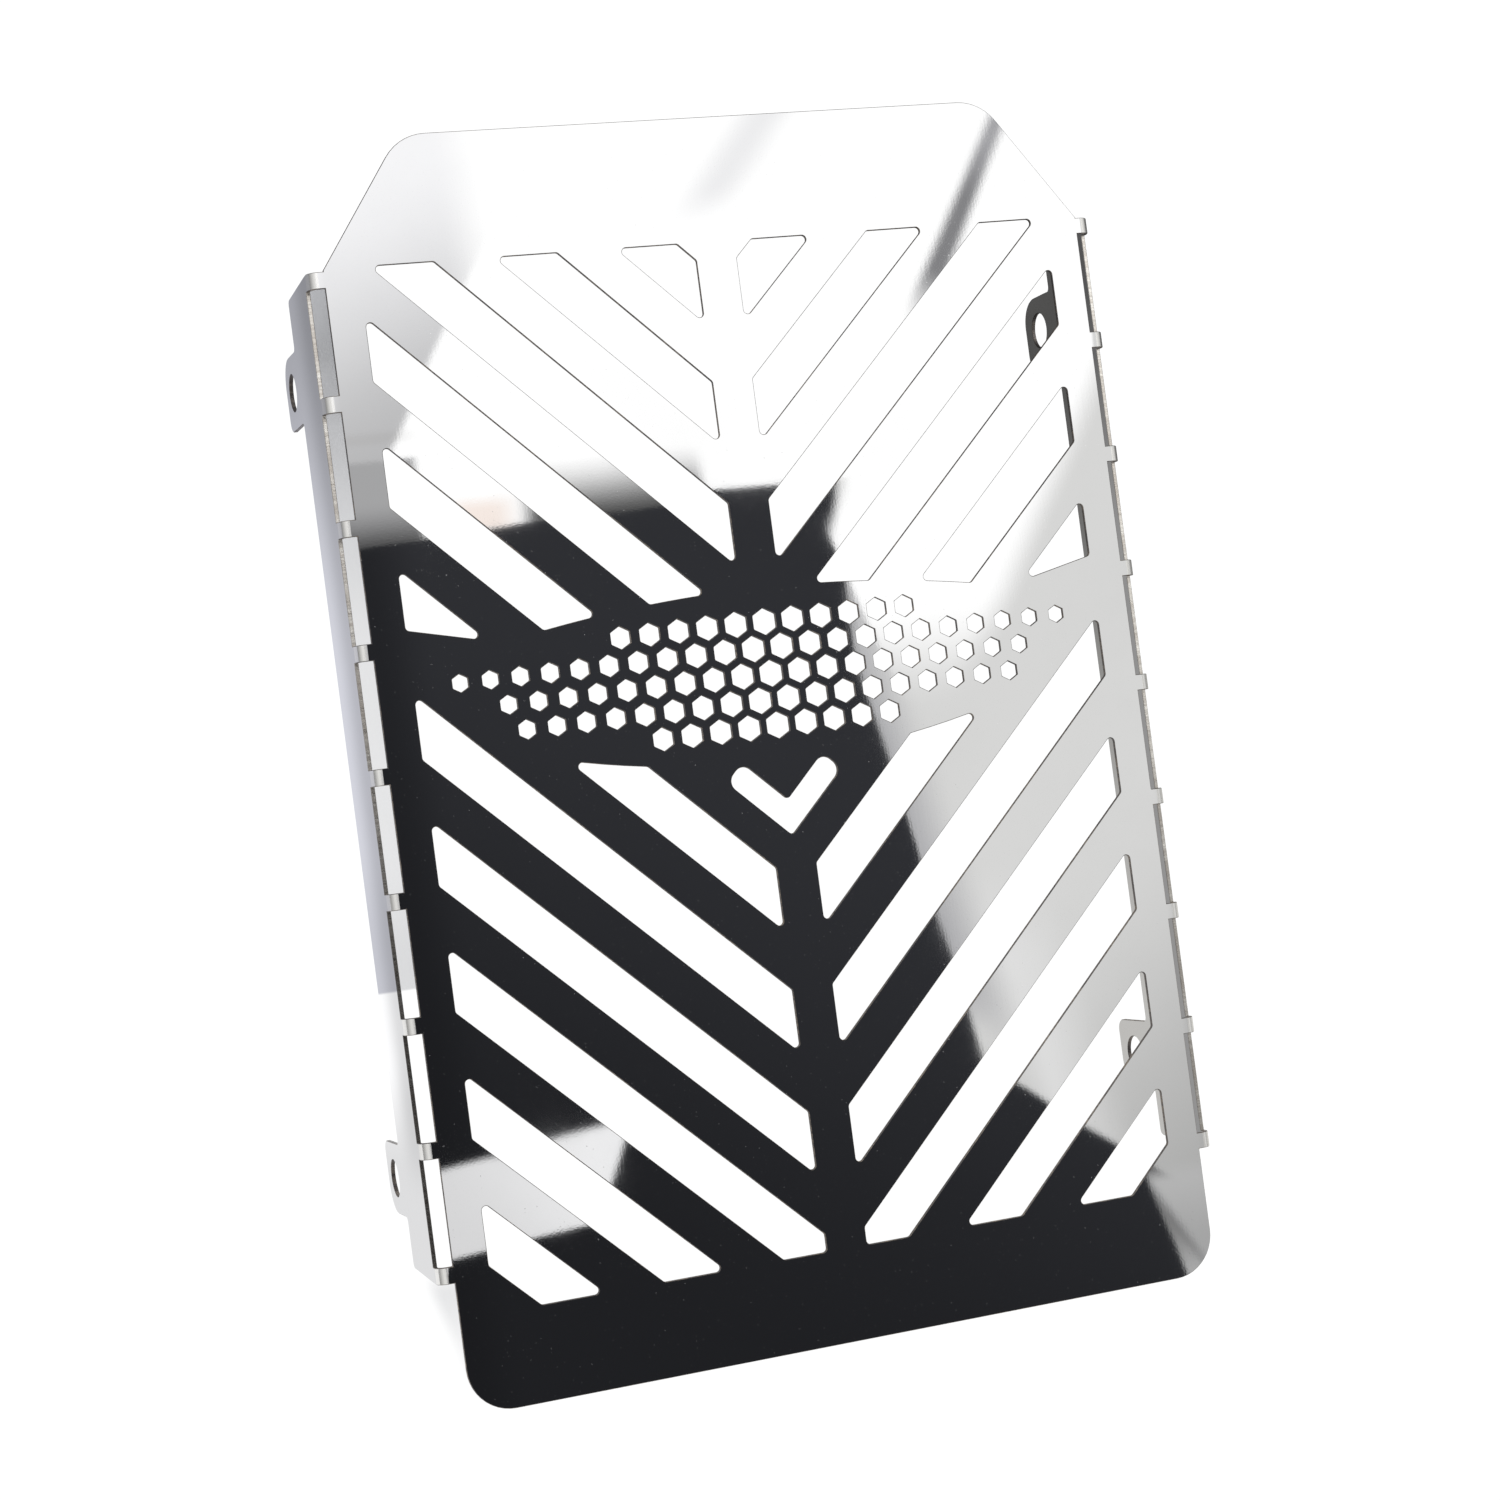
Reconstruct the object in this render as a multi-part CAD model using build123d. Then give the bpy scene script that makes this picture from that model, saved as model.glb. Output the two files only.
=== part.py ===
# Motorcycle radiator guard: one laser-cut stainless sheet with both long sides folded back.
# It lies face up on the tips of its four ears: +Z is the front normal, +Y runs to the top edge
# and the origin is on the floor under the middle of the plate. Sizes are in millimetres.
import os
from math import cos, radians, sin, tan

from build123d import *

sheet = 1.0
overall_depth = 44.3

# Front plate: straight bottom with rounded corners, sloping cuts across the top corners
plate_width = 190.0
plate_height = 295.0
corner_cut_across = 21.6
corner_cut_down = 30.4
top_corner_radius = 12.0
bottom_corner_radius = 10.5

# Fold lines: short bridges of sheet bend round the corner, long gaps between them ease the fold
bridge_count = 9
bridge_width = 3.9
bend_radius = 1.6
fold_land = 1.25

# Side flanges and the ears that carry the mounting holes
flange_depth = 27.2
flange_end_gap = 0.25
flange_end_taper = 1.2
flange_corner_radius = 1.5
hole_from_end = 21.85
hole_diameter = 9.0
hole_from_tip = 8.3
ear_width = 17.4
ear_end_radius = 7.0
ear_middle_radius = 3.0
ear_root_radius = 1.2

# Chevron slots: they run down from each side margin to a spine on the centre line
slot_angle = 44.54
slot_width = 10.73
bar_width = 10.13
spine_width = 10.2
side_margin = 8.3
top_margin = 30.1
bottom_margin = 22.2
slot_below_field = 22.03
slot_corner_radius = 1.0
smallest_slot_area = 120.0

# Honeycomb field in the middle, kept clear of the slots by a solid frame with raised ends
field_centre = 13.1
frame_rise = 20.7
frame_drop = 20.9
shoulder_reach = 64.0
shoulder_rise = 14.5
tip_reach = 91.0
tip_rise = 20.7
foot_reach = 66.0
foot_drop = 11.1
field_rim = 3.0
field_end_gap = 13.0
cell_pitch = 7.2
cell_radius = 3.25
cell_end_share = 0.65
cell_rows = 5
short_slot_width = 6.1
short_slot_tip = -25.9
short_slot_length = 20.4
short_slot_end_radius = 2.6

# Levels and places that follow from the sizes above
front = overall_depth
back = front - sheet
half_width = plate_width / 2
half_height = plate_height / 2
inner_face = half_width + fold_land + bend_radius
outer_face = inner_face + sheet
fold_edge = back - bend_radius - fold_land
rear_edge = front - flange_depth
field_half_width = tip_reach - field_end_gap
flange_end = half_height - corner_cut_down - flange_end_gap
bridge_pitch = (2 * flange_end - bridge_width) / (bridge_count - 1)
hole_place = flange_end - hole_from_end
slope = tan(radians(slot_angle))
slot_pitch = (slot_width + bar_width) / cos(radians(slot_angle))
slot_drop = slot_width / cos(radians(slot_angle))


def plate_outline():
    """Face of the front plate before anything is cut out of it."""
    corners = [
        (-half_width, -half_height),
        (half_width, -half_height),
        (half_width, half_height - corner_cut_down),
        (half_width - corner_cut_across, half_height),
        (corner_cut_across - half_width, half_height),
        (-half_width, half_height - corner_cut_down),
    ]
    outline = Polygon(*corners, align=None)
    tops = outline.vertices().filter_by_position(Axis.Y, half_height - 0.1, half_height + 0.1)
    outline = fillet(tops, top_corner_radius)
    bottoms = outline.vertices().filter_by_position(Axis.Y, -half_height - 0.1, 0.1 - half_height)
    return fillet(bottoms, bottom_corner_radius)


def field_frame():
    """Solid band across the plate that keeps the slots clear of the honeycomb field."""
    top = field_centre + frame_rise
    bottom = field_centre - frame_drop
    shoulder = field_centre + shoulder_rise
    tip = field_centre + tip_rise
    foot = field_centre - foot_drop
    under_tip = foot + (tip_reach - foot_reach) * slope
    return make_face([
        ThreePointArc((-shoulder_reach, shoulder), (0, top), (shoulder_reach, shoulder)),
        Polyline(
            (shoulder_reach, shoulder),
            (tip_reach, tip),
            (tip_reach, under_tip),
            (foot_reach, foot),
        ),
        ThreePointArc((foot_reach, foot), (0, bottom), (-foot_reach, foot)),
        Polyline(
            (-foot_reach, foot),
            (-tip_reach, under_tip),
            (-tip_reach, tip),
            (-shoulder_reach, shoulder),
        ),
    ])


def rounded(piece):
    """Slot with all its corners rounded, as the cutting beam leaves them."""
    return piece.fillet_2d(slot_corner_radius, piece.vertices())


def left_slots(frame):
    """Slots on the left: parallel bands held inside the margins and broken by the frame."""
    outer = side_margin - half_width
    inner = -spine_width / 2
    top = half_height - top_margin
    bottom = bottom_margin - half_height
    window = Polygon((outer, bottom), (inner, bottom), (inner, top), (outer, top), align=None)
    cuts = []
    below_field = field_centre - slot_below_field
    rows_above = int((top + slot_drop - below_field) / slot_pitch)
    at_spine = below_field + rows_above * slot_pitch
    at_side = at_spine - outer * slope
    while at_side > bottom + slot_drop:
        band = Polygon(
            (outer, at_side),
            (outer, at_side - slot_drop),
            (0, at_spine - slot_drop),
            (0, at_spine),
            align=None,
        )
        pieces = ((band & window) - frame).faces()
        cuts += [rounded(piece) for piece in pieces if piece.area > smallest_slot_area]
        at_spine -= slot_pitch
        at_side -= slot_pitch
    return cuts


def short_chevron():
    """Small closed chevron on the centre line just under the honeycomb field."""
    along = Vector(cos(radians(slot_angle)), sin(radians(slot_angle)))
    across = Vector(-along.Y, along.X)
    tip = Vector(0, short_slot_tip)
    low_end = tip + along * short_slot_length
    high_end = low_end + across * short_slot_width
    notch = tip + Vector(0, short_slot_width / along.X)
    right_arm = [tip, low_end, high_end, notch]
    points = [(corner.X, corner.Y) for corner in right_arm]
    points += [(-corner.X, corner.Y) for corner in (high_end, low_end)]
    shape = Polygon(*points, align=None)
    middle = [corner for corner in shape.vertices() if abs(corner.X) < 0.1]
    shape = fillet(middle, slot_corner_radius)
    ends = shape.vertices().filter_by_position(Axis.Y, low_end.Y - 0.1, high_end.Y + 0.1)
    return fillet(ends, short_slot_end_radius)


def honeycomb(frame):
    """Six-sided holes in staggered rows inside the frame, smaller towards both ends."""
    cells = []
    band = frame.face()
    rim = band.outer_wire()
    row_pitch = cell_pitch * cos(radians(30))
    steps = int(field_half_width / cell_pitch) + 1
    for row in range(cell_rows):
        up = field_centre + (row - (cell_rows - 1) / 2) * row_pitch
        shift = 0.5 if row % 2 else 0.0
        for step in range(-steps, steps + 1):
            across = (step + shift) * cell_pitch
            outward = abs(across) / field_half_width
            radius = cell_radius * (1.0 - outward * (1.0 - cell_end_share))
            middle = Vector(across, up)
            clear = rim.distance_to(middle) > radius + field_rim
            if outward < 1.0 and band.is_inside(middle) and clear:
                cells.append(Pos(across, up) * RegularPolygon(radius, 6, rotation=90))
    return cells


def flange():
    """Right-hand flange with its two ears and holes, standing down from the fold."""
    ear_outside = hole_place + ear_width / 2
    ear_inside = hole_place - ear_width / 2
    upper = [
        (flange_end, fold_edge),
        (flange_end - flange_end_taper, rear_edge),
        (ear_outside, rear_edge),
        (ear_outside, 0),
        (ear_inside, 0),
        (ear_inside, rear_edge),
    ]
    lower = [(-y, z) for y, z in reversed(upper)]
    outline = Polygon(*upper, *lower, align=None)
    for place, level, radius in (
        (ear_outside, 0, ear_end_radius),
        (ear_inside, 0, ear_middle_radius),
        (ear_outside, rear_edge, ear_root_radius),
        (ear_inside, rear_edge, ear_root_radius),
        (flange_end - flange_end_taper, rear_edge, flange_corner_radius),
    ):
        near = [corner for corner in outline.vertices() if abs(abs(corner.X) - place) < 0.05]
        outline = fillet([corner for corner in near if abs(corner.Y - level) < 0.05], radius)
    for place in (hole_place, -hole_place):
        outline -= Pos(place, hole_from_tip) * Circle(hole_diameter / 2)
    return extrude(Plane.YZ.offset(inner_face) * outline, sheet, dir=(1, 0, 0))


def bridges():
    """Bent strips of sheet that join the right-hand edge of the plate to its flange."""
    bend = half_width + fold_land
    centre = back - bend_radius
    diagonal = cos(radians(45))
    outside = bend_radius + sheet
    strip = Plane.XZ * make_face([
        Line((half_width, front), (bend, front)),
        ThreePointArc(
            (bend, front),
            (bend + outside * diagonal, centre + outside * diagonal),
            (outer_face, centre),
        ),
        Line((outer_face, centre), (outer_face, fold_edge)),
        Line((outer_face, fold_edge), (inner_face, fold_edge)),
        Line((inner_face, fold_edge), (inner_face, centre)),
        ThreePointArc(
            (inner_face, centre),
            (bend + bend_radius * diagonal, centre + bend_radius * diagonal),
            (bend, back),
        ),
        Line((bend, back), (half_width, back)),
        Line((half_width, back), (half_width, front)),
    ])
    bent = extrude(strip, bridge_width / 2, both=True)
    first = -(bridge_count - 1) * bridge_pitch / 2
    return [Pos(0, first + step * bridge_pitch, 0) * bent for step in range(bridge_count)]


frame = field_frame()
slots = left_slots(frame)
openings = slots + [mirror(slot, about=Plane.YZ) for slot in slots]
openings += [short_chevron()] + honeycomb(frame)
front_face = plate_outline() - openings
front_plate = extrude(Pos(0, 0, back) * front_face, sheet, dir=(0, 0, 1))

right_side = [flange()] + bridges()
left_side = [mirror(piece, about=Plane.YZ) for piece in right_side]
guard = (front_plate + right_side + left_side).clean()

os.makedirs("parts", exist_ok=True)
export_step(guard, "parts/radiator_guard.step")
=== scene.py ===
import math

import bpy
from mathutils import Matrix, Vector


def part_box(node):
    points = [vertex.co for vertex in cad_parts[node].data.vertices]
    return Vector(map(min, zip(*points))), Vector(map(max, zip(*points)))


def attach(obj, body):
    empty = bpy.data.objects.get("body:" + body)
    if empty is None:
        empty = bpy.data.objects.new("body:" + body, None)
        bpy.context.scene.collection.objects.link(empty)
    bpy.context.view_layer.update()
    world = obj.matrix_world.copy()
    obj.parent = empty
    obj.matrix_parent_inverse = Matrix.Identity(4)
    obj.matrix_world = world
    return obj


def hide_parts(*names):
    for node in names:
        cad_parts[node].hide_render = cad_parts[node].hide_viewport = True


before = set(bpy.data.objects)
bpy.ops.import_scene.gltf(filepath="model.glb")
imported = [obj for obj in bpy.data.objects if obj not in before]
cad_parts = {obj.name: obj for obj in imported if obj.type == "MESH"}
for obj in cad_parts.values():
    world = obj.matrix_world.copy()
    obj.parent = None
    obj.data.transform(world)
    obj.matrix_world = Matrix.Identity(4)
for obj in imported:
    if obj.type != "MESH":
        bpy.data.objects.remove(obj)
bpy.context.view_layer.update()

# The guard is one mirror-polished stainless sheet, 1 mm thick. It is cut by laser, so all its
# edges are fine-ridged and straw-tinted, and its long sides are folded back over short bridges.
# It is held by screws through its four ears, and here it lies on their tips.
SHEET = 0.001
EDGE_BREAK = 0.00014
BEND_RADIUS = 0.0016
FOLD_LAND = 0.00125
TOUCHING = 0.000002
NEAR = 0.0001
STRAIGHT = 0.99
LEVEL = 0.999
IN_LINE = math.radians(0.5)
SHARP = math.radians(40)
ROUNDED = math.radians(25)
PLATE_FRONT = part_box("radiator_guard")[1].z
PLATE_BACK = PLATE_FRONT - SHEET
FLANGE_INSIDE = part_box("radiator_guard")[1].x - SHEET
BEND_START = FLANGE_INSIDE - BEND_RADIUS - 2 * NEAR
FOLD_EDGE = PLATE_BACK - BEND_RADIUS - FOLD_LAND

guard = bpy.data.objects.new("guard_sheet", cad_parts["radiator_guard"].data.copy())
bpy.context.scene.collection.objects.link(guard)
bpy.ops.object.select_all(action="DESELECT")
bpy.context.view_layer.objects.active = guard
guard.select_set(True)

# The copied triangles are joined into whole faces, and the long cut edges are broken a little,
# as polishing leaves them. Corner lines through the thickness stay as the laser left them.
bpy.ops.object.mode_set(mode="EDIT")
bpy.ops.mesh.select_all(action="SELECT")
bpy.ops.mesh.customdata_custom_splitnormals_clear()
bpy.ops.mesh.remove_doubles(threshold=TOUCHING)
bpy.ops.mesh.dissolve_limited(angle_limit=IN_LINE)
bpy.ops.mesh.select_all(action="DESELECT")
bpy.ops.mesh.edges_select_sharp(sharpness=SHARP)
bpy.ops.object.mode_set(mode="OBJECT")
corners = guard.data.vertices
for edge in guard.data.edges:
    run = corners[edge.vertices[1]].co - corners[edge.vertices[0]].co
    if run.length < 1.1 * SHEET:
        through_plate = abs(run.z) > STRAIGHT * run.length
        through_flange = abs(run.x) > STRAIGHT * run.length
        if through_plate or through_flange:
            edge.select = False
bpy.ops.object.mode_set(mode="EDIT")
bpy.ops.mesh.bevel(
    offset=EDGE_BREAK, segments=1, affect="EDGES", clamp_overlap=False, loop_slide=False
)
bpy.ops.mesh.select_all(action="DESELECT")
bpy.ops.object.mode_set(mode="OBJECT")

# Where broken edges cross, between two cut-outs that stand corner to corner or inside a bend, a
# sliver turns over. Its short ends are drawn together, so that the faces beside it meet in one
# line, and faces that lie in one plane are joined again.
SLIVER = 4 * EDGE_BREAK
for face in guard.data.polygons:
    over_front = face.normal.z < -0.9 and abs(face.center.z - PLATE_FRONT) < 0.1 * EDGE_BREAK
    over_back = face.normal.z > 0.9 and abs(face.center.z - PLATE_BACK) < 0.1 * EDGE_BREAK
    if over_front or over_back:
        for first, second in face.edge_keys:
            if (corners[first].co - corners[second].co).length < SLIVER:
                corners[first].select = corners[second].select = True
bpy.ops.object.mode_set(mode="EDIT")
bpy.ops.mesh.select_mode(type="VERT")
bpy.ops.mesh.remove_doubles(threshold=SLIVER)
bpy.ops.mesh.select_all(action="SELECT")
bpy.ops.mesh.dissolve_limited(angle_limit=IN_LINE)
bpy.ops.object.mode_set(mode="OBJECT")
bpy.ops.object.shade_smooth_by_angle(angle=ROUNDED)


def add(tree, kind, place, **values):
    """New node of a kind at a place, with values for its input sockets or its own settings."""
    node = tree.nodes.new(kind)
    node.location = place
    for name, value in values.items():
        if hasattr(node, name):
            setattr(node, name, value)
        else:
            node.inputs[name.replace("_", " ")].default_value = value
    return node


def noise(tree, place, scale, detail, roughness):
    """Noise texture node: how fine it is, its layers and how much the fine layers count."""
    return add(
        tree, "ShaderNodeTexNoise", place, Scale=scale, Detail=detail, Roughness=roughness
    )


def stretched(tree, place, scale):
    """Mapping node that draws a pattern out along some axes."""
    node = add(tree, "ShaderNodeMapping", place)
    node.inputs["Scale"].default_value = scale
    return node


def join(tree, links):
    """Links pairs of an output socket and the input socket that it feeds."""
    for source, target in links:
        tree.links.new(source, target)


# Marks on the polish: hand smudges, single dust specks, fine drag lines, the grain of the buffed
# skin and the slow wave of a thin sheet. The wave and the grain move the edges of reflections.
polish_marks = bpy.data.node_groups.new("polish_marks", "ShaderNodeTree")
polish_marks.interface.new_socket("Vector", in_out="INPUT", socket_type="NodeSocketVector")
for result in ("Smudge", "Speck", "Drag", "Grain", "Wave"):
    polish_marks.interface.new_socket(result, in_out="OUTPUT", socket_type="NodeSocketFloat")
place_in = add(polish_marks, "NodeGroupInput", (-900, 0))
marks_out = add(polish_marks, "NodeGroupOutput", (700, 0))
smudge_noise = noise(polish_marks, (-500, 300), 22.0, 5.0, 0.62)
smudge_range = add(
    polish_marks, "ShaderNodeMapRange", (-200, 300), From_Min=0.48, From_Max=0.80
)
speck_cells = add(polish_marks, "ShaderNodeTexVoronoi", (-500, 50), Scale=1100.0)
speck_size = add(polish_marks, "ShaderNodeMapRange", (-200, 100), From_Min=0.17, From_Max=0.05)
speck_pick = add(polish_marks, "ShaderNodeMapRange", (-200, -50), From_Min=0.66, From_Max=0.98)
speck = add(polish_marks, "ShaderNodeMath", (100, 50), operation="MULTIPLY")
drag_stretch = stretched(polish_marks, (-700, -200), (1800.0, 25.0, 1800.0))
drag_noise = noise(polish_marks, (-500, -200), 1.0, 3.0, 0.6)
grain_noise = noise(polish_marks, (-500, -450), 2200.0, 1.0, 0.5)
wave_noise = noise(polish_marks, (-500, -700), 24.0, 1.0, 0.4)
join(polish_marks, (
    (place_in.outputs["Vector"], smudge_noise.inputs["Vector"]),
    (place_in.outputs["Vector"], speck_cells.inputs["Vector"]),
    (place_in.outputs["Vector"], drag_stretch.inputs["Vector"]),
    (place_in.outputs["Vector"], grain_noise.inputs["Vector"]),
    (place_in.outputs["Vector"], wave_noise.inputs["Vector"]),
    (drag_stretch.outputs["Vector"], drag_noise.inputs["Vector"]),
    (smudge_noise.outputs["Fac"], smudge_range.inputs["Value"]),
    (speck_cells.outputs["Distance"], speck_size.inputs["Value"]),
    (speck_cells.outputs["Color"], speck_pick.inputs["Value"]),
    (speck_size.outputs["Result"], speck.inputs[0]),
    (speck_pick.outputs["Result"], speck.inputs[1]),
    (smudge_range.outputs["Result"], marks_out.inputs["Smudge"]),
    (speck.outputs["Value"], marks_out.inputs["Speck"]),
    (drag_noise.outputs["Fac"], marks_out.inputs["Drag"]),
    (grain_noise.outputs["Fac"], marks_out.inputs["Grain"]),
    (wave_noise.outputs["Fac"], marks_out.inputs["Wave"]),
))

DUST_METAL = 0.86
DUST_ROUGHNESS = 0.3
WAVE_HEIGHT = 0.00004
GRAIN_HEIGHT = 0.0000004
DRAG_HEIGHT = 0.00002


def polished(name, clean, handled, smooth, rough):
    """Polished stainless: colour and roughness run from clean metal to handled metal."""
    steel = bpy.data.materials.new(name)
    steel.use_nodes = True
    tree = steel.node_tree
    shader = tree.nodes["Principled BSDF"]
    where = add(tree, "ShaderNodeTexCoord", (-1200, 0))
    marks = add(tree, "ShaderNodeGroup", (-950, 0), node_tree=polish_marks)
    colour = add(tree, "ShaderNodeMix", (-400, 300), data_type="RGBA")
    colour.inputs["A"].default_value = clean
    colour.inputs["B"].default_value = handled
    bare = add(tree, "ShaderNodeMapRange", (-400, 80), To_Min=1.0, To_Max=DUST_METAL)
    buffed = add(tree, "ShaderNodeMapRange", (-650, -120), To_Min=smooth, To_Max=rough)
    dusty = add(tree, "ShaderNodeMapRange", (-650, -360), To_Min=0.0, To_Max=DUST_ROUGHNESS)
    dulled = add(tree, "ShaderNodeMath", (-400, -150), operation="MAXIMUM")
    wave = add(tree, "ShaderNodeBump", (-650, -600), Strength=1.0, Distance=WAVE_HEIGHT)
    grain = add(tree, "ShaderNodeBump", (-400, -600), Strength=1.0, Distance=GRAIN_HEIGHT)
    drag = add(tree, "ShaderNodeBump", (-180, -600), Strength=0.02, Distance=DRAG_HEIGHT)
    join(tree, (
        (where.outputs["Object"], marks.inputs["Vector"]),
        (marks.outputs["Smudge"], colour.inputs["Factor"]),
        (marks.outputs["Smudge"], buffed.inputs["Value"]),
        (marks.outputs["Speck"], dusty.inputs["Value"]),
        (marks.outputs["Speck"], bare.inputs["Value"]),
        (buffed.outputs["Result"], dulled.inputs[0]),
        (dusty.outputs["Result"], dulled.inputs[1]),
        (colour.outputs["Result"], shader.inputs["Base Color"]),
        (bare.outputs["Result"], shader.inputs["Metallic"]),
        (dulled.outputs["Value"], shader.inputs["Roughness"]),
        (marks.outputs["Wave"], wave.inputs["Height"]),
        (marks.outputs["Grain"], grain.inputs["Height"]),
        (marks.outputs["Drag"], drag.inputs["Height"]),
        (wave.outputs["Normal"], grain.inputs["Normal"]),
        (grain.outputs["Normal"], drag.inputs["Normal"]),
        (drag.outputs["Normal"], shader.inputs["Normal"]),
    ))
    return steel


mirror_face = polished("mirror_face", (0.78, 0.78, 0.78, 1), (0.75, 0.75, 0.75, 1), 0.02, 0.05)
# The bends are rougher than the flat faces, and their tone is painted lighter, for the light that
# they catch.
worked_bend_painted_light = polished("worked_bend_painted_light", (0.96, 0.95, 0.92, 1), (0.88, 0.87, 0.84, 1), 0.20, 0.32)

# Marks of the laser on a cut edge, read with the thickness along Z: ridges, and a heat tint that
# breaks up into beads along the edge.
laser_marks = bpy.data.node_groups.new("laser_marks", "ShaderNodeTree")
laser_marks.interface.new_socket("Vector", in_out="INPUT", socket_type="NodeSocketVector")
for result in ("Tint", "Ridge"):
    laser_marks.interface.new_socket(result, in_out="OUTPUT", socket_type="NodeSocketFloat")
edge_in = add(laser_marks, "NodeGroupInput", (-900, 0))
edge_out = add(laser_marks, "NodeGroupOutput", (300, 0))
ridge_stretch = stretched(laser_marks, (-650, 0), (2600.0, 2600.0, 260.0))
ridge_noise = noise(laser_marks, (-400, 0), 1.0, 3.0, 0.6)
tint_noise = noise(laser_marks, (-400, -250), 90.0, 4.0, 0.6)
tint_range = add(laser_marks, "ShaderNodeMapRange", (-100, -250), From_Min=0.35, From_Max=0.60)
bead_stretch = stretched(laser_marks, (-650, -500), (1000.0, 1000.0, 200.0))
bead_noise = noise(laser_marks, (-400, -500), 1.0, 2.0, 0.6)
bead_range = add(
    laser_marks, "ShaderNodeMapRange", (-100, -500), From_Min=0.42, From_Max=0.58, To_Min=0.25
)
beaded = add(laser_marks, "ShaderNodeMath", (100, -350), operation="MULTIPLY")
join(laser_marks, (
    (edge_in.outputs["Vector"], ridge_stretch.inputs["Vector"]),
    (edge_in.outputs["Vector"], tint_noise.inputs["Vector"]),
    (edge_in.outputs["Vector"], bead_stretch.inputs["Vector"]),
    (ridge_stretch.outputs["Vector"], ridge_noise.inputs["Vector"]),
    (ridge_noise.outputs["Fac"], edge_out.inputs["Ridge"]),
    (tint_noise.outputs["Fac"], tint_range.inputs["Value"]),
    (bead_stretch.outputs["Vector"], bead_noise.inputs["Vector"]),
    (bead_noise.outputs["Fac"], bead_range.inputs["Value"]),
    (tint_range.outputs["Result"], beaded.inputs[0]),
    (bead_range.outputs["Result"], beaded.inputs[1]),
    (beaded.outputs["Value"], edge_out.inputs["Tint"]),
))


def along(tree, where, direction, start, end, low, high):
    """Value that eases from low to high as a place moves from start to end along a direction."""
    row = -60 * len(tree.nodes)
    reach = add(tree, "ShaderNodeVectorMath", (-900, row), operation="DOT_PRODUCT")
    reach.inputs[1].default_value = (*direction, 0)
    ease = add(
        tree, "ShaderNodeMapRange", (-700, row), interpolation_type="SMOOTHSTEP",
        From_Min=start, From_Max=end, To_Min=low, To_Max=high,
    )
    join(tree, (
        (where, reach.inputs[0]),
        (reach.outputs["Value"], ease.inputs["Value"]),
    ))
    return ease.outputs["Result"]


RIDGE_HEIGHT = 0.00012


def laser_cut(name, turn, relief, dark, straw, painted_shades=()):
    """Cut edge of the sheet; turn lays the thickness of the sheet along Z for the marks, and
    relief is how strong its ridges are. A painted shade is a painted change of tone along the
    edge, for the light and shade that the edge mirrors: a direction, where it starts and ends,
    and the two tones."""
    edge = bpy.data.materials.new(name)
    edge.use_nodes = True
    tree = edge.node_tree
    shader = tree.nodes["Principled BSDF"]
    shader.inputs["Metallic"].default_value = 1.0
    where = add(tree, "ShaderNodeTexCoord", (-1200, 0))
    turned = add(tree, "ShaderNodeMapping", (-1000, 0))
    turned.inputs["Rotation"].default_value = turn
    marks = add(tree, "ShaderNodeGroup", (-750, 0), node_tree=laser_marks)
    colour = add(tree, "ShaderNodeMix", (-400, 250), data_type="RGBA")
    colour.inputs["A"].default_value = dark
    colour.inputs["B"].default_value = straw
    dulled = add(
        tree, "ShaderNodeMapRange", (-400, 0),
        From_Min=0.3, From_Max=0.7, To_Min=0.22, To_Max=0.48,
    )
    ridges = add(tree, "ShaderNodeBump", (-400, -300), Strength=relief, Distance=RIDGE_HEIGHT)
    tinted = colour.outputs["Result"]
    for direction, start, end, low, high in painted_shades:
        painted_tone_step = add(tree, "ShaderNodeVectorMath", (-200, 250), operation="SCALE")
        tone = along(tree, where.outputs["Object"], direction, start, end, low, high)
        tree.links.new(tinted, painted_tone_step.inputs[0])
        tree.links.new(tone, painted_tone_step.inputs["Scale"])
        tinted = painted_tone_step.outputs["Vector"]
    join(tree, (
        (where.outputs["Object"], turned.inputs["Vector"]),
        (turned.outputs["Vector"], marks.inputs["Vector"]),
        (marks.outputs["Tint"], colour.inputs["Factor"]),
        (marks.outputs["Ridge"], dulled.inputs["Value"]),
        (marks.outputs["Ridge"], ridges.inputs["Height"]),
        (tinted, shader.inputs["Base Color"]),
        (dulled.outputs["Result"], shader.inputs["Roughness"]),
        (ridges.outputs["Normal"], shader.inputs["Normal"]),
    ))
    return edge


# The edge along the fold is painted lighter, for the light that it catches, with beads at the far
# end, and painted shade darkens it towards the near left corner. The edges of the plate and the
# rear edges of the flanges are painted dark all along, as shade for the dark that they mirror.
FOLD_PAINTED_SHADE = [
    ((0, 1), -0.055, 0.012, 0.78, 1.0),
    ((0.707, 0.707), -0.115, -0.035, 0.30, 1.0),
]
FLAT_LYING = (0, 0, 0)
UPRIGHT = (0, math.radians(90), 0)
plate_edge_painted_shade = laser_cut(
    "plate_cut_edge_painted_shade", FLAT_LYING, 0.8, (0.17, 0.16, 0.16, 1), (0.42, 0.36, 0.30, 1)
)
fold_edge_painted_light = laser_cut(
    "fold_cut_edge_painted_light", UPRIGHT, 0.3, (0.68, 0.63, 0.57, 1), (1.0, 0.97, 0.91, 1), FOLD_PAINTED_SHADE
)
rear_edge_painted_shade = laser_cut(
    "rear_cut_edge_painted_shade", UPRIGHT, 0.8, (0.11, 0.10, 0.10, 1), (0.34, 0.30, 0.26, 1)
)
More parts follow.
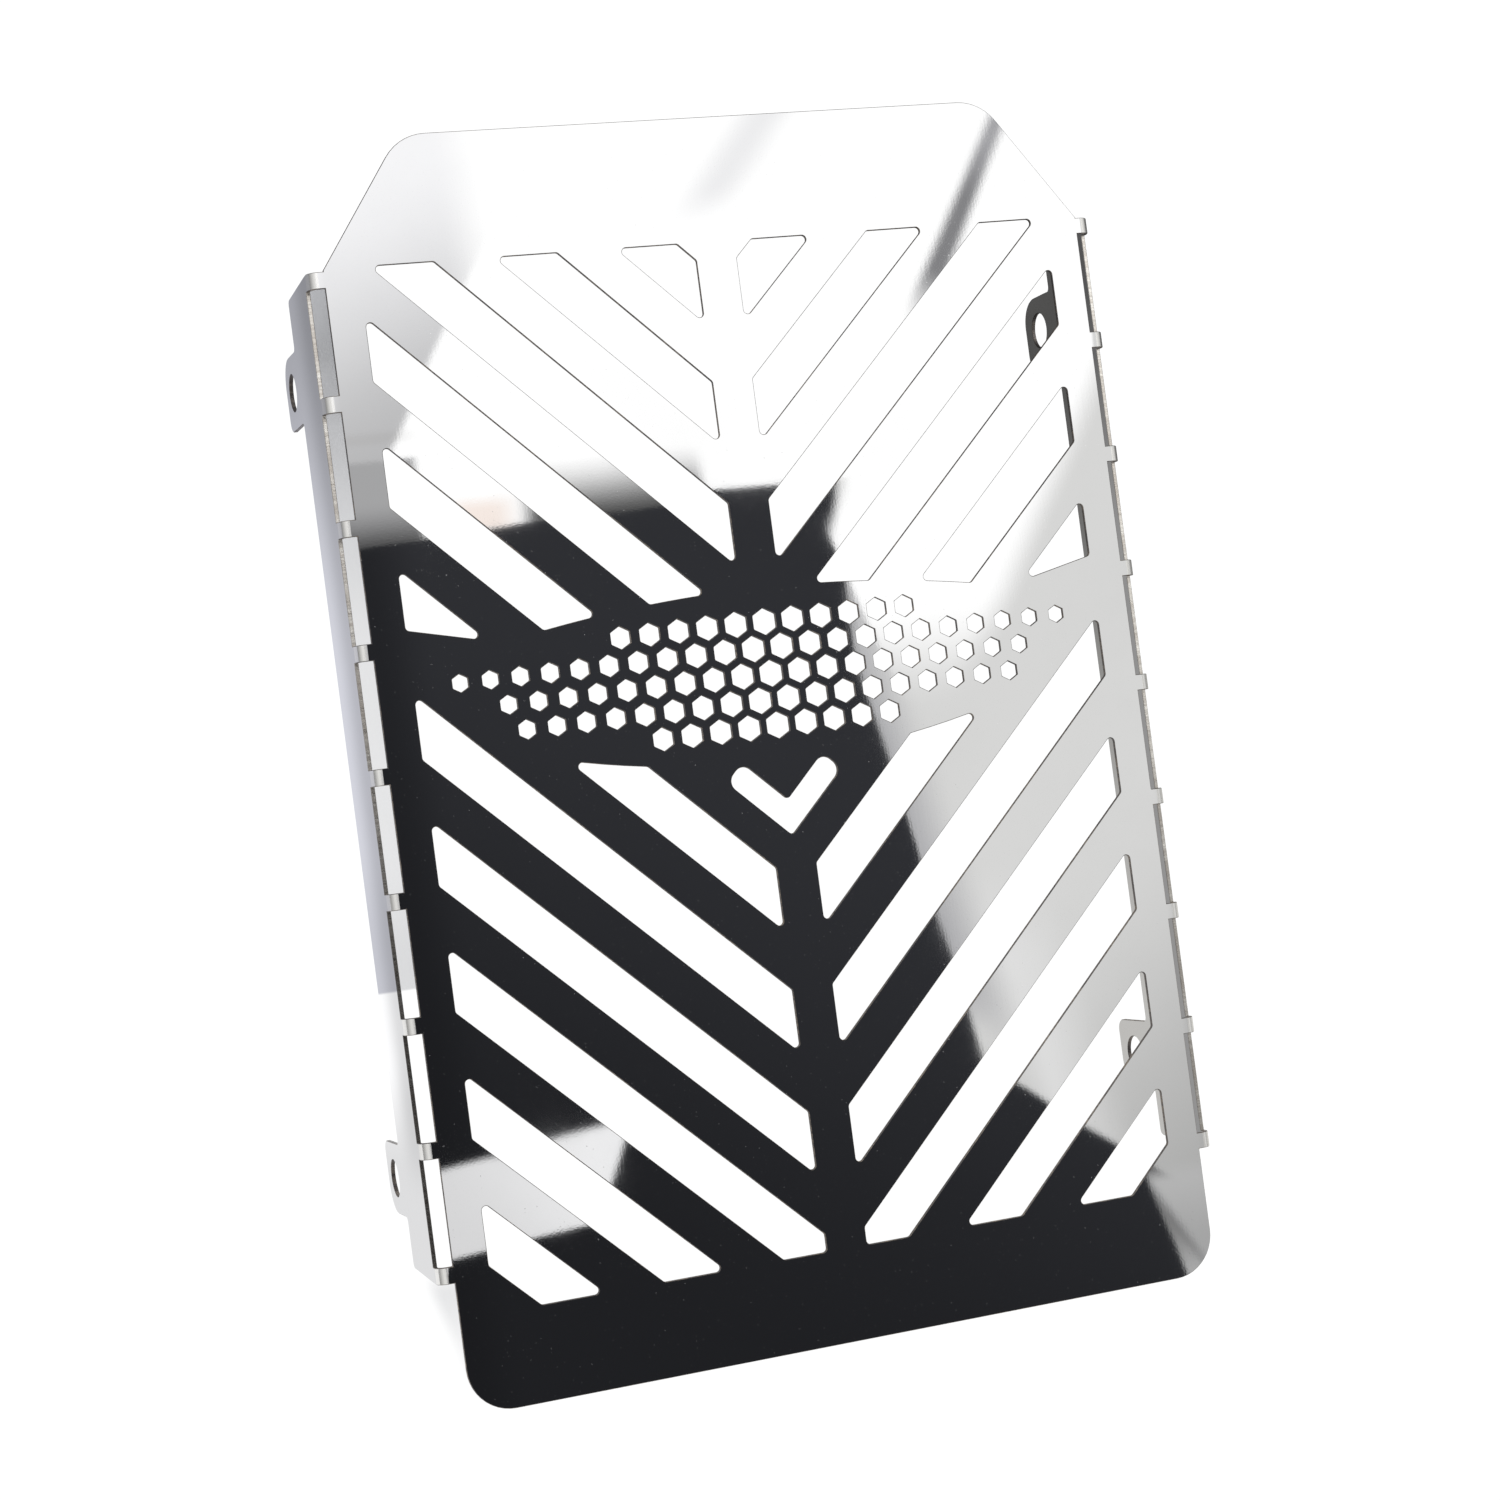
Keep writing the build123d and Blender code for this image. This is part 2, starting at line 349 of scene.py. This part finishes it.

# Flat faces are mirror bright, the bends are a little duller and painted lighter, and the rest is
# cut edge, painted lighter along the fold and darker elsewhere by where it lies.
finishes = [mirror_face, worked_bend_painted_light, plate_edge_painted_shade, fold_edge_painted_light, rear_edge_painted_shade]
guard.data.materials.clear()
for finish in finishes:
    guard.data.materials.append(finish)
for face in guard.data.polygons:
    on_plate = face.center.z > PLATE_BACK - NEAR
    on_flange = abs(face.center.x) > FLANGE_INSIDE - NEAR
    on_bridge = face.center.z > FOLD_EDGE + NEAR and abs(face.center.x) > BEND_START
    if on_plate and abs(face.normal.z) > LEVEL or on_flange and abs(face.normal.x) > LEVEL:
        finish = mirror_face
    elif on_bridge and abs(face.normal.y) < 0.01:
        finish = worked_bend_painted_light
    elif on_plate or on_bridge:
        finish = plate_edge_painted_shade
    elif face.center.z > FOLD_EDGE - 2 * NEAR:
        finish = fold_edge_painted_light
    else:
        finish = rear_edge_painted_shade
    face.material_index = finishes.index(finish)

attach(guard, "root")
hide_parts("radiator_guard")

# The table is a wide sheet of white paper. The camera sees it almost white, but the folded sides
# of the guard mirror a painted reflection on it: lavender on the left, white at the near end, and
# a painted warm shade under the right side. The share that is left to the lamps keeps the guard's
# faint shadow.
TABLE_SIZE = 8.0
PAPER_COLOUR = (0.53, 0.54, 0.57, 1)
PAPER_WHITE = (1.12, 1.12, 1.12, 1)
WHITE_SHARE = 0.90
MIRROR_SHARE = 0.92
MM_PER_M = 1000

bpy.ops.object.select_all(action="DESELECT")
bpy.ops.mesh.primitive_plane_add(size=TABLE_SIZE, location=(0, 0, 0))
table = bpy.context.object
table.name = "table"


def within(tree, where, edges, cover=1.0):
    """Mask of the area inside some edges, each a direction, how far out it lies and its fade."""
    mask = None
    for direction, place, fade in edges:
        inside = along(tree, where, direction, place - fade, place + fade, 0.0, 1.0)
        row = -60 * len(tree.nodes)
        joined = add(tree, "ShaderNodeMath", (-500, row), operation="MULTIPLY")
        tree.links.new(inside, joined.inputs[0])
        joined.inputs[1].default_value = cover
        if mask is not None:
            tree.links.new(mask, joined.inputs[1])
        mask = joined.outputs["Value"]
    return mask


def patched(tree, where, patches):
    """Colour of a card made of patches of light laid over each other. A patch has its tint, the
    levels that it runs between along a direction, how much it covers, and its edges."""
    colour = None
    for tint, low, high, direction, start, end, cover, edges in patches:
        row = -60 * len(tree.nodes)
        glow = add(tree, "ShaderNodeVectorMath", (-300, row), operation="SCALE")
        glow.inputs[0].default_value = tint
        level = along(tree, where, direction, start, end, low, high)
        tree.links.new(level, glow.inputs["Scale"])
        if colour is None:
            colour = glow.outputs["Vector"]
            continue
        laid = add(tree, "ShaderNodeMix", (-100, row), data_type="RGBA")
        tree.links.new(within(tree, where, edges, cover), laid.inputs["Factor"])
        tree.links.new(colour, laid.inputs["A"])
        tree.links.new(glow.outputs["Vector"], laid.inputs["B"])
        colour = laid.outputs["Result"]
    return colour


# Places on the table are in millimetres from the middle of the guard.
# Tones of the painted reflection on the paper, which only glossy rays see.
PAPER_PAINTED_REFLECTION = [
    # Plain paper, the painted warm shade at the right and its darker painted strip under the
    # right fold
    ((1, 1, 1), 0.40, 0.40, (0, 1), 0, 1, 1.0, []),
    ((1, 0.985, 0.95), 0.68, 0.09, (0, 1), -100, 100, 1.0, [((1, 0), 40, 10)]),
    ((1, 0.99, 0.985), 0.37, 0.10, (0, 1), 30, 115, 1.0,
     [((1, 0), 70, 3), ((-1, 0), -82, 1.5)]),
    # Painted lavender at the left and white at its near end
    ((0.90, 0.91, 1), 0.90, 0.48, (0, 1), 25, 118, 1.0, [((-1, 0), 92, 3)]),
    ((0.99, 0.99, 1), 0.90, 1.27, (0, 1), -95, -65, 1.0,
     [((-1, 0), 92, 3), ((0, -1), 51.3, 0.4)]),
    # Painted shade further out and towards the near end of the lavender
    ((1, 1, 1), 0.0, 0.0, (0, 1), 0, 1, 0.30, [((-1, 0), 104.2, 2.2), ((0, 1), -90, 14)]),
    ((1, 1, 1), 0.0, 0.0, (0, 1), 0, 1, 0.15,
     [((-1, 0), 92, 3), ((0, -1), 28, 14), ((0, 1), -51.3, 0.4)]),
]
# Painted shade on the paper under the left fold and by the near left end of the guard: there the
# camera's white share is cut, so the lamp-lit paper with its own shadow shows, as deep as the
# painted ramps give.
PAINTED_SHADE_UNDER_FOLD = [
    ((1, 0), -93, 2.5), ((-1, 0), 81.5, 2.5), ((0, 1), -51.3, 0.4), ((0.6, -0.8), -151.5, 1),
]
PAINTED_SHADE_NEAR_END = [
    ((0.963, 0.271), -122.5, 2.5), ((0, -1), 122, 4), ((-1, 0), 78, 6), ((0, 1), -153, 4),
]
paper = bpy.data.materials.new("white_paper")
paper.use_nodes = True
tree = paper.node_tree
tree.nodes.clear()
shown = add(tree, "ShaderNodeOutputMaterial", (700, 0))
mixed = add(tree, "ShaderNodeMixShader", (500, 0))
lit = add(tree, "ShaderNodeBsdfDiffuse", (250, -150), Color=PAPER_COLOUR)
glow = add(tree, "ShaderNodeEmission", (250, -300))
where = add(tree, "ShaderNodeTexCoord", (-1300, 0))
in_mm = stretched(tree, (-1100, 0), (MM_PER_M, MM_PER_M, MM_PER_M))
path = add(tree, "ShaderNodeLightPath", (-300, 350))
tone = add(tree, "ShaderNodeMix", (50, -300), data_type="RGBA")
tone.inputs["B"].default_value = PAPER_WHITE
# Depth of the painted shade along the left fold and at the near end.
fold_painted_shade_depth = add(tree, "ShaderNodeMath", (-250, 250), operation="ADD")
fold_painted_shade = add(tree, "ShaderNodeMath", (-100, 250), operation="MULTIPLY")
end_painted_shade = add(tree, "ShaderNodeMath", (-100, 100), operation="MULTIPLY")
painted_shade_amount = add(tree, "ShaderNodeMath", (0, 180), operation="MAXIMUM")
whitened = add(tree, "ShaderNodeMath", (50, 250), operation="SUBTRACT")
whitened.inputs[0].default_value = WHITE_SHARE
seen = add(tree, "ShaderNodeMath", (200, 250), operation="MULTIPLY")
mirrored = add(tree, "ShaderNodeMath", (200, 80), operation="MULTIPLY")
mirrored.inputs[1].default_value = MIRROR_SHARE
both = add(tree, "ShaderNodeMath", (350, 150), operation="MAXIMUM")
on_paper = in_mm.outputs["Vector"]
join(tree, (
    (where.outputs["Object"], in_mm.inputs["Vector"]),
    (along(tree, on_paper, (0, 1), 20, 118, 0.31, 0.78), fold_painted_shade_depth.inputs[0]),
    (along(tree, on_paper, (0, -1), 14, 50, 0.0, 0.12), fold_painted_shade_depth.inputs[1]),
    (within(tree, on_paper, PAINTED_SHADE_UNDER_FOLD), fold_painted_shade.inputs[0]),
    (fold_painted_shade_depth.outputs["Value"], fold_painted_shade.inputs[1]),
    (within(tree, on_paper, PAINTED_SHADE_NEAR_END), end_painted_shade.inputs[0]),
    (along(tree, on_paper, (0, -1), 124, 142, 0.32, 0.16), end_painted_shade.inputs[1]),
    (fold_painted_shade.outputs["Value"], painted_shade_amount.inputs[0]),
    (end_painted_shade.outputs["Value"], painted_shade_amount.inputs[1]),
    (painted_shade_amount.outputs["Value"], whitened.inputs[1]),
    (path.outputs["Is Camera Ray"], seen.inputs[0]),
    (whitened.outputs["Value"], seen.inputs[1]),
    (path.outputs["Is Glossy Ray"], mirrored.inputs[0]),
    (path.outputs["Is Camera Ray"], tone.inputs["Factor"]),
    (patched(tree, on_paper, PAPER_PAINTED_REFLECTION), tone.inputs["A"]),
    (tone.outputs["Result"], glow.inputs["Color"]),
    (seen.outputs["Value"], both.inputs[0]),
    (mirrored.outputs["Value"], both.inputs[1]),
    (both.outputs["Value"], mixed.inputs["Fac"]),
    (lit.outputs["BSDF"], mixed.inputs[1]),
    (glow.outputs["Emission"], mixed.inputs[2]),
    (mixed.outputs["Shader"], shown.inputs["Surface"]),
))
table.data.materials.append(paper)

# A glowing card hangs over the table at the height of the camera, painted black with light
# patches. Only the metal sees it: its patches are a painted reflection, the light and dark fields
# in the mirror of the plate. They are written where they show on the plate, in millimetres, which
# is at half the size of the card.
CAMERA_PLACE = (-0.23109, -0.01316, 0.72112)
CARD_SIZE = 1.4
CARD_MIDDLE = (0.35, 0.0)
PLATE_MM_PER_M = 500
WHITE = (1, 1, 1)
LAVENDER = (0.985, 0.985, 1)
PAINTED_REFLECTION_PATCHES = [
    # Painted dark field, a little lighter away from the near left corner and darker at its left
    # end
    ((0.84, 0.87, 1), 0.021, 0.042, (0.55, 0.835), -140, 5, 1.0, []),
    ((0.84, 0.87, 1), 0.014, 0.014, (0, 1), 0, 1, 0.55, [((-1, 0), 87, 7)]),
    # Painted light panel at the right, the soft painted shade along its near edge, its bright
    # middle and its white top
    ((1, 1, 0.99), 0.53, 0.86, (-0.6, 0.8), -165, -75, 1.0,
     [((0.982, 0.187), 24.6, 0.8), ((0.62, 0.784), -42.8, 0.8), ((1, 0), 22.5, 1.5)]),
    ((1, 1, 1), 0.97, 0.97, (0, 1), 0, 1, 0.75,
     [((0.978, 0.208), 33, 5), ((-0.978, -0.208), -46, 10), ((0.62, 0.784), -43.3, 0.8),
      ((0, -1), 50, 12)]),
    ((0.96, 0.96, 1), 0.54, 0.54, (0, 1), 0, 1, 0.9,
     [((0.982, 0.187), 24.6, 0.8), ((0.62, 0.784), -33, 6), ((1, 0), 22.5, 1.5),
      ((-0.978, -0.208), -30.0, 7.5)]),
    (WHITE, 1.32, 1.32, (0, 1), 0, 1, 1.0,
     [((-0.837, 0.547), -37.6, 5), ((0.915, -0.403), -0.4, 2.2), ((0.949, 0.316), 32.2, 0.8),
      ((0, 1), 14, 14)]),
    # Painted white panel at the top, the haze over its left end and the darker bands along its
    # near edge
    (WHITE, 1.32, 1.32, (0, 1), 0, 1, 1.0,
     [((0, 1), 57.8, 0.3), ((-0.915, 0.403), -3.5, 2)]),
    (WHITE, 1.32, 1.32, (0, 1), 0, 1, 1.0,
     [((-0.05, 0.9987), 57.8, 0.35), ((-1, 0), 46, 0.5)]),
    (LAVENDER, 0.62, 1.2, (-0.35, 0.94), 95, 160, 1.0,
     [((-0.855, 0.518), 110.9, 1.2), ((-1, 0), 60, 7)]),
    (LAVENDER, 0.04, 0.48, (0, 1), 50, 63, 1.0,
     [((-1, 0), 79.5, 1.5), ((0, -1), -72, 0.8), ((-0.05, 0.9987), 57.4, 0.35)]),
    ((1, 0.97, 0.93), 0.40, 0.40, (0, 1), 0, 1, 0.18,
     [((-1, 0), 80, 4), ((0, 1), 76.2, 1), ((0, -1), -78.8, 1)]),
    (WHITE, 0.10, 1.32, (0, 1), 54.5, 71, 1.0,
     [((1, 0), -55, 3), ((-1, 0), 11, 2), ((0, 1), 55.2, 0.3), ((0, -1), -69, 1)]),
    ((1, 0.86, 0.78), 1.15, 1.15, (0, 1), 0, 1, 0.8,
     [((1, 0), -72, 3), ((-1, 0), 59, 4), ((0, 1), 54.9, 0.35), ((0, -1), -61, 2)]),
    # Two painted streaks over the top panel, as stands in front of it would mirror: a faint one
    # and a dark one
    (LAVENDER, 1.08, 1.08, (0, 1), 0, 1, 0.9,
     [((0.743, -0.669), -90, 4), ((-0.743, 0.669), 82, 4), ((0, 1), 126, 6)]),
    ((0.95, 0.95, 1), 0.21, 0.42, (0, 1), 122, 140, 0.93,
     [((0.850, -0.527), -11.2, 1.7), ((-0.866, 0.500), 2.0, 1.7), ((0.53, 0.85), 112, 9)]),
    # Small painted light panel at the near left corner
    ((0.99, 0.99, 1), 0.87, 1.1, (0.9, 0.43), -132, -89, 1.0,
     [((0.096, -0.995), 81.4, 1.2), ((-0.07, 0.9975), -104.4, 0.6),
      ((-0.894, 0.447), 4.8, 0.9)]),
    # End of the painted right panel at the near right corner, with a darker painted band under it
    (WHITE, 0.48, 0.60, (0, 1), -140, -120, 1.0,
     [((0.952, 0.305), 38.5, 0.7), ((0.868, 0.496), 8.0, 2.5), ((0, -1), 121, 3)]),
    (WHITE, 0.52, 0.28, (0, 1), -148, -134, 1.0,
     [((0.952, 0.305), 38.5, 0.7), ((-0.852, -0.524), -2.6, 1.5), ((0, -1), 124, 3)]),
]
bpy.ops.object.select_all(action="DESELECT")
bpy.ops.mesh.primitive_plane_add(size=CARD_SIZE)
reflection_card = bpy.context.object
reflection_card.name = "painted_reflection_card"
bpy.ops.object.mode_set(mode="EDIT")
bpy.ops.transform.translate(value=(*CARD_MIDDLE, CAMERA_PLACE[2]))
bpy.ops.object.mode_set(mode="OBJECT")
reflection_card_paint = bpy.data.materials.new("painted_reflection_patches")
reflection_card_paint.use_nodes = True
tree = reflection_card_paint.node_tree
tree.nodes.clear()
shown = add(tree, "ShaderNodeOutputMaterial", (400, 0))
glow = add(tree, "ShaderNodeEmission", (150, 0))
where = add(tree, "ShaderNodeTexCoord", (-1300, 0))
on_plate = stretched(tree, (-1100, 0), (PLATE_MM_PER_M, PLATE_MM_PER_M, PLATE_MM_PER_M))
on_plate.inputs["Location"].default_value = (
    CAMERA_PLACE[0] * PLATE_MM_PER_M, CAMERA_PLACE[1] * PLATE_MM_PER_M, 0
)
join(tree, (
    (where.outputs["Object"], on_plate.inputs["Vector"]),
    (patched(tree, on_plate.outputs["Vector"], PAINTED_REFLECTION_PATCHES), glow.inputs["Color"]),
    (glow.outputs["Emission"], shown.inputs["Surface"]),
))
reflection_card.data.materials.append(reflection_card_paint)
reflection_card.visible_camera = False
reflection_card.visible_diffuse = False
reflection_card.visible_shadow = False

# Two soft square lamps light the table from above and from the left. The metal doesn't mirror
# them. Each has its place and size in metres and its power in watts.
for name, place, size, power in (
    ("overhead_lamp", (0.15, 0.35, 1.6), 1.4, 17.0),
    ("side_lamp", (-1.3, -0.5, 1.1), 1.0, 9.0),
):
    bpy.ops.object.light_add(type="AREA", location=place)
    lamp = bpy.context.object
    lamp.name = name
    lamp.data.size = size
    lamp.data.energy = power
    lamp.rotation_euler = (-lamp.location).to_track_quat("-Z", "Y").to_euler()
    lamp.visible_glossy = False

# The room beyond the table is white to the camera. In the mirror of the metal it gets darker from
# the ceiling down to the floor and towards one side.
ROOM_LIGHT = 0.35
ROOM_FLOOR = 0.30
ROOM_CEILING = 1.0
CEILING_START = 0.8
DARK_SIDE = 0.7

room = bpy.data.worlds.new("white_room")
bpy.context.scene.world = room
room.use_nodes = True
tree = room.node_tree
tree.nodes.clear()
shown = add(tree, "ShaderNodeOutputWorld", (400, 0))
backing = add(tree, "ShaderNodeBackground", (150, 0), Color=(1, 1, 1, 1))
path = add(tree, "ShaderNodeLightPath", (-900, 250))
where = add(tree, "ShaderNodeTexCoord", (-900, -100))
height = add(tree, "ShaderNodeSeparateXYZ", (-700, -100))
walls = add(
    tree, "ShaderNodeMapRange", (-500, -100),
    From_Min=0.0, From_Max=CEILING_START, To_Min=ROOM_FLOOR, To_Max=ROOM_CEILING,
)
sided = add(tree, "ShaderNodeMath", (-300, -100), operation="MULTIPLY")
level = add(tree, "ShaderNodeMix", (-100, 100), data_type="FLOAT")
level.inputs["A"].default_value = ROOM_LIGHT
whitened = add(tree, "ShaderNodeMath", (50, 0), operation="MAXIMUM")
outward = where.outputs["Generated"]
join(tree, (
    (outward, height.inputs["Vector"]),
    (height.outputs["Z"], walls.inputs["Value"]),
    (walls.outputs["Result"], sided.inputs[0]),
    (along(tree, outward, (0.8, 0.6), -1, 1, DARK_SIDE, 1.0), sided.inputs[1]),
    (path.outputs["Is Glossy Ray"], level.inputs["Factor"]),
    (sided.outputs["Value"], level.inputs["B"]),
    (level.outputs["Result"], whitened.inputs[0]),
    (path.outputs["Is Camera Ray"], whitened.inputs[1]),
    (whitened.outputs["Value"], backing.inputs["Strength"]),
    (backing.outputs["Background"], shown.inputs["Surface"]),
))

# The camera looks down on the guard from the left, about 72 cm above the table.
CAMERA_TURN = (0.05521, -0.31414, -0.13806)
CAMERA_SENSOR = 36.0
CAMERA_LENS = 71.8455

bpy.ops.object.camera_add(location=CAMERA_PLACE, rotation=CAMERA_TURN)
camera = bpy.context.object
camera.name = "camera"
camera.data.sensor_width = CAMERA_SENSOR
camera.data.lens = CAMERA_LENS
bpy.context.scene.camera = camera

bpy.context.scene.view_settings.view_transform = "Standard"
